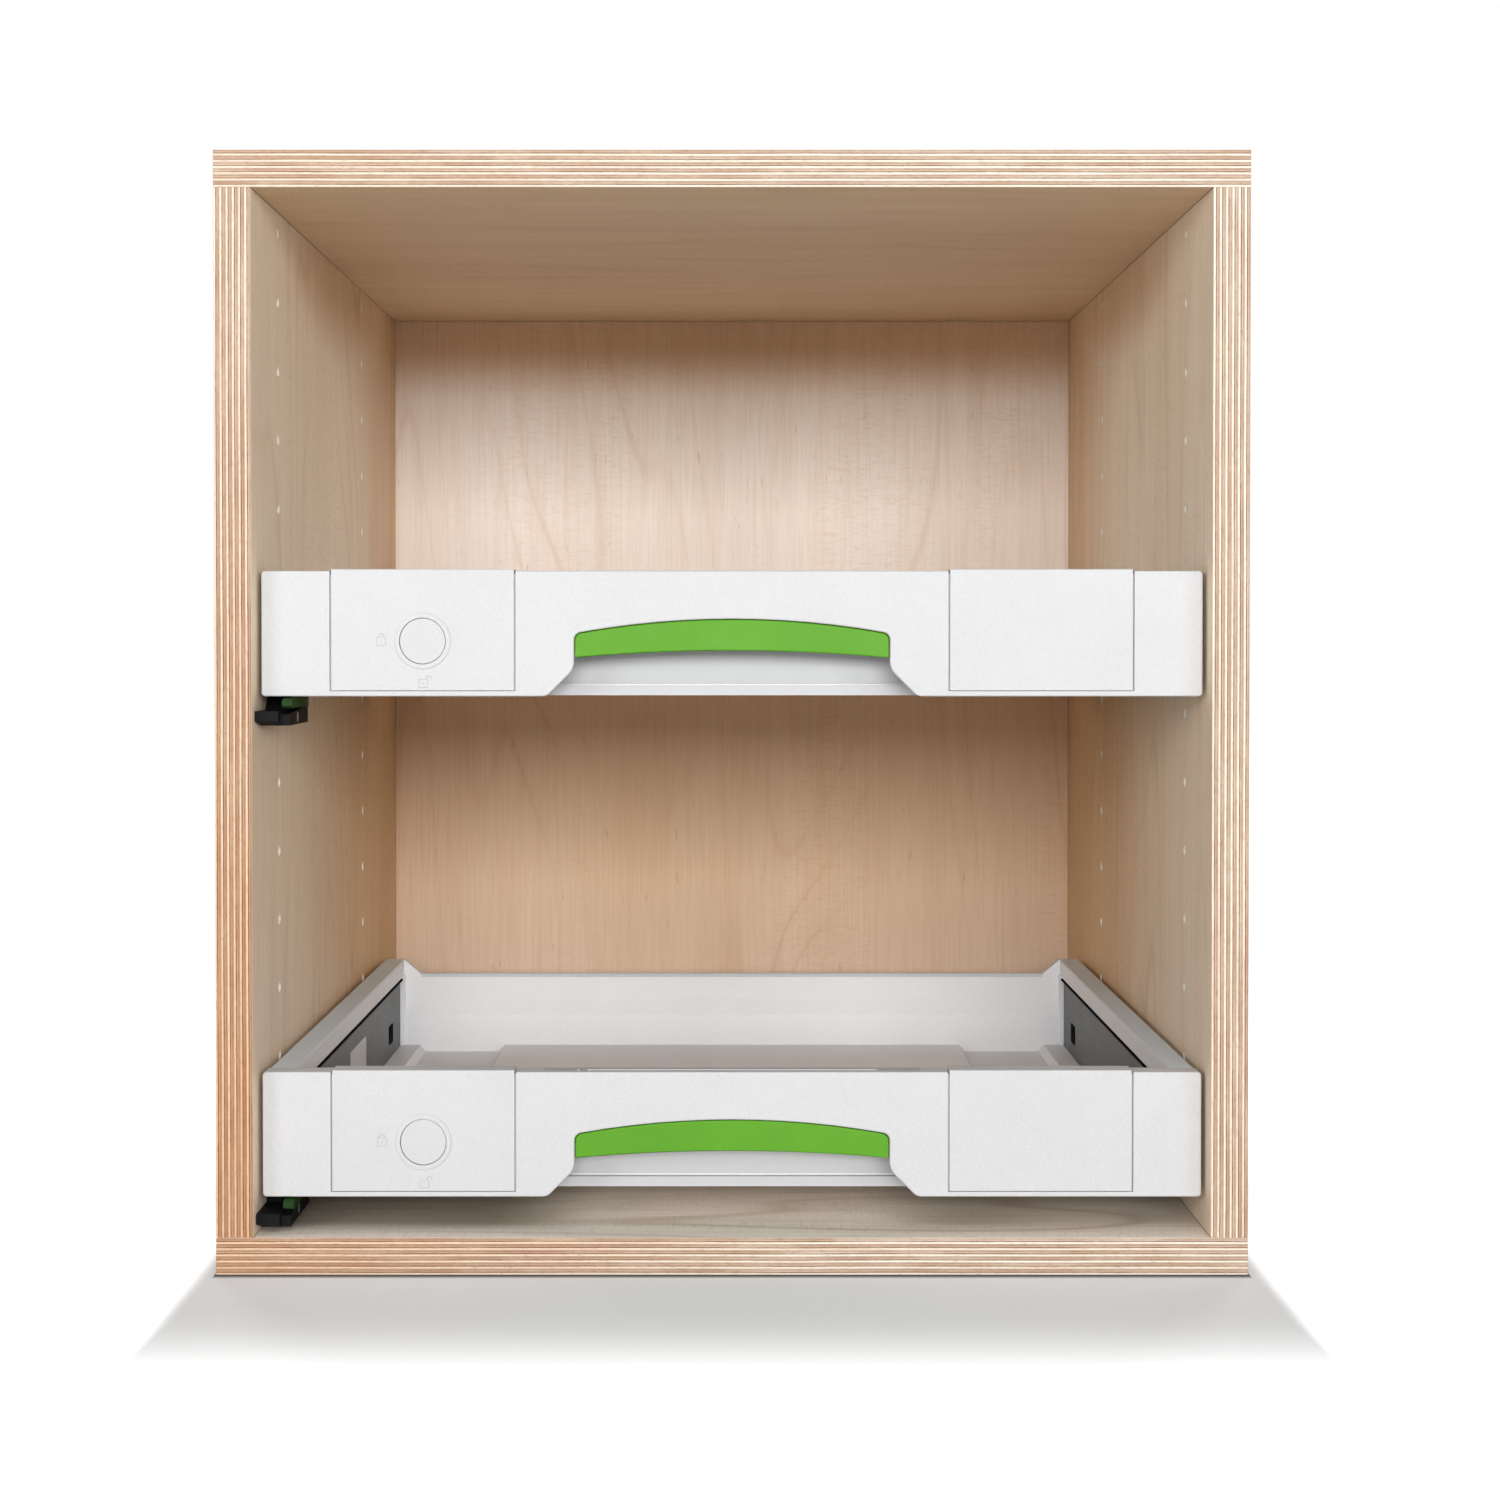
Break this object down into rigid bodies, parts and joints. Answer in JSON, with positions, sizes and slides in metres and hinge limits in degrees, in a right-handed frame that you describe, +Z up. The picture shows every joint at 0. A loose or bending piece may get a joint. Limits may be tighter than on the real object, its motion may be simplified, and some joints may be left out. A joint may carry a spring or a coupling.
{
  "type": "tool case drawer unit",
  "caption": "Plywood cabinet open at the front, with shallow pull-out trays on ball slides, each with a green grip bar, a quarter-turn lock and inlaid front panels.",
  "frame": {"origin": "middle of the base, on the ground", "axes": "+X to the right seen from the front, +Y to the back, +Z up; the open front faces -Y"},
  "size_m": [0.457, 0.4166, 0.497],
  "materials": {
    "birch_ply": "clear lacquered birch plywood",
    "beech": "raw",
    "white_plastic": "fine spark texture",
    "pale_plastic": "smooth satin",
    "green_plastic": "satin",
    "black_plastic": "fine texture",
    "dark_steel": "grey powder coat",
    "zinc_steel": "bright zinc",
    "cage_steel": "plain",
    "ball_steel": "polished"
  },
  "bodies": {
    "carcass": {"top_panel": "birch_ply", "bottom_panel": "birch_ply", "left_side": "birch_ply", "right_side": "birch_ply", "back_panel": "birch_ply", "carcass_dowels": "beech", "back_dowels": "beech", "upper_left_cabinet_rail": "zinc_steel", "upper_right_cabinet_rail": "zinc_steel", "upper_rail_screws": "zinc_steel", "upper_catch_housing": "black_plastic", "upper_lever_pin": "ball_steel", "lower_left_cabinet_rail": "zinc_steel", "lower_right_cabinet_rail": "zinc_steel", "lower_rail_screws": "zinc_steel", "lower_catch_housing": "black_plastic", "lower_lever_pin": "ball_steel"},
    "upper_drawer": {"upper_tray": "white_plastic", "upper_front": "white_plastic", "upper_lock_panel": "white_plastic", "upper_label_panel": "white_plastic", "upper_grip_bar": "green_plastic", "upper_front_screws": "zinc_steel", "upper_left_side_plate": "dark_steel", "upper_right_side_plate": "dark_steel", "upper_left_drawer_rail": "zinc_steel", "upper_right_drawer_rail": "zinc_steel"},
    "upper_middle_rails": {"upper_left_middle_rail": "zinc_steel", "upper_right_middle_rail": "zinc_steel"},
    "upper_outer_race": {"upper_outer_cages": "cage_steel", "upper_outer_balls": "ball_steel"},
    "upper_inner_race": {"upper_inner_cages": "cage_steel", "upper_inner_balls": "ball_steel"},
    "upper_lock": {"upper_lock_disc": "pale_plastic", "upper_lock_cam": "zinc_steel"},
    "upper_bolt": {"upper_lock_bolt": "zinc_steel"},
    "upper_lever": {"upper_release_lever": "green_plastic"},
    "lower_drawer": {"lower_tray": "white_plastic", "lower_front": "white_plastic", "lower_lock_panel": "white_plastic", "lower_label_panel": "white_plastic", "lower_grip_bar": "green_plastic", "lower_front_screws": "zinc_steel", "lower_left_side_plate": "dark_steel", "lower_right_side_plate": "dark_steel", "lower_left_drawer_rail": "zinc_steel", "lower_right_drawer_rail": "zinc_steel"},
    "lower_middle_rails": {"lower_left_middle_rail": "zinc_steel", "lower_right_middle_rail": "zinc_steel"},
    "lower_outer_race": {"lower_outer_cages": "cage_steel", "lower_outer_balls": "ball_steel"},
    "lower_inner_race": {"lower_inner_cages": "cage_steel", "lower_inner_balls": "ball_steel"},
    "lower_lock": {"lower_lock_disc": "pale_plastic", "lower_lock_cam": "zinc_steel"},
    "lower_bolt": {"lower_lock_bolt": "zinc_steel"},
    "lower_lever": {"lower_release_lever": "green_plastic"}
  },
  "joints": [
    {"name": "upper_drawer_slide", "type": "slide", "parent": "carcass", "child": "upper_drawer", "axis": [0, -1, 0], "range_m": [0, 0.3]},
    {"name": "upper_middle_slide", "type": "slide", "parent": "carcass", "child": "upper_middle_rails", "axis": [0, -1, 0], "range_m": [0, 0.15]},
    {"name": "upper_outer_race_slide", "type": "slide", "parent": "carcass", "child": "upper_outer_race", "axis": [0, -1, 0], "range_m": [0, 0.075]},
    {"name": "upper_inner_race_slide", "type": "slide", "parent": "carcass", "child": "upper_inner_race", "axis": [0, -1, 0], "range_m": [0, 0.225]},
    {"name": "upper_lock_turn", "type": "hinge", "parent": "upper_drawer", "child": "upper_lock", "pos_m": [-0.138, -0.198, 0.2807], "axis": [0, 1, 0], "range_deg": [0, 90]},
    {"name": "upper_bolt_slide", "type": "slide", "parent": "upper_drawer", "child": "upper_bolt", "axis": [-1, 0, 0], "range_m": [0, 0.0086]},
    {"name": "upper_lever_press", "type": "hinge", "parent": "carcass", "child": "upper_lever", "pos_m": [-0.1979, -0.16625, 0.253], "axis": [1, 0, 0], "range_deg": [0, 4], "stiffness_Nm_per_rad": 0.02, "springref_deg": -5.73},
    {"name": "lower_drawer_slide", "type": "slide", "parent": "carcass", "child": "lower_drawer", "axis": [0, -1, 0], "range_m": [0, 0.3]},
    {"name": "lower_middle_slide", "type": "slide", "parent": "carcass", "child": "lower_middle_rails", "axis": [0, -1, 0], "range_m": [0, 0.15]},
    {"name": "lower_outer_race_slide", "type": "slide", "parent": "carcass", "child": "lower_outer_race", "axis": [0, -1, 0], "range_m": [0, 0.075]},
    {"name": "lower_inner_race_slide", "type": "slide", "parent": "carcass", "child": "lower_inner_race", "axis": [0, -1, 0], "range_m": [0, 0.225]},
    {"name": "lower_lock_turn", "type": "hinge", "parent": "lower_drawer", "child": "lower_lock", "pos_m": [-0.138, -0.198, 0.0567], "axis": [0, 1, 0], "range_deg": [0, 90]},
    {"name": "lower_bolt_slide", "type": "slide", "parent": "lower_drawer", "child": "lower_bolt", "axis": [-1, 0, 0], "range_m": [0, 0.0086]},
    {"name": "lower_lever_press", "type": "hinge", "parent": "carcass", "child": "lower_lever", "pos_m": [-0.1979, -0.16625, 0.029], "axis": [1, 0, 0], "range_deg": [0, 4], "stiffness_Nm_per_rad": 0.02, "springref_deg": -5.73}
  ],
  "couplings": [
    {"joint": "upper_middle_slide", "follows": "upper_drawer_slide", "ratio": 0.5},
    {"joint": "upper_outer_race_slide", "follows": "upper_drawer_slide", "ratio": 0.25},
    {"joint": "upper_inner_race_slide", "follows": "upper_drawer_slide", "ratio": 0.75},
    {"joint": "upper_bolt_slide", "follows": "upper_lock_turn", "m_per_rad": 0.005402},
    {"joint": "lower_middle_slide", "follows": "lower_drawer_slide", "ratio": 0.5},
    {"joint": "lower_outer_race_slide", "follows": "lower_drawer_slide", "ratio": 0.25},
    {"joint": "lower_inner_race_slide", "follows": "lower_drawer_slide", "ratio": 0.75},
    {"joint": "lower_bolt_slide", "follows": "lower_lock_turn", "m_per_rad": 0.005402}
  ]
}
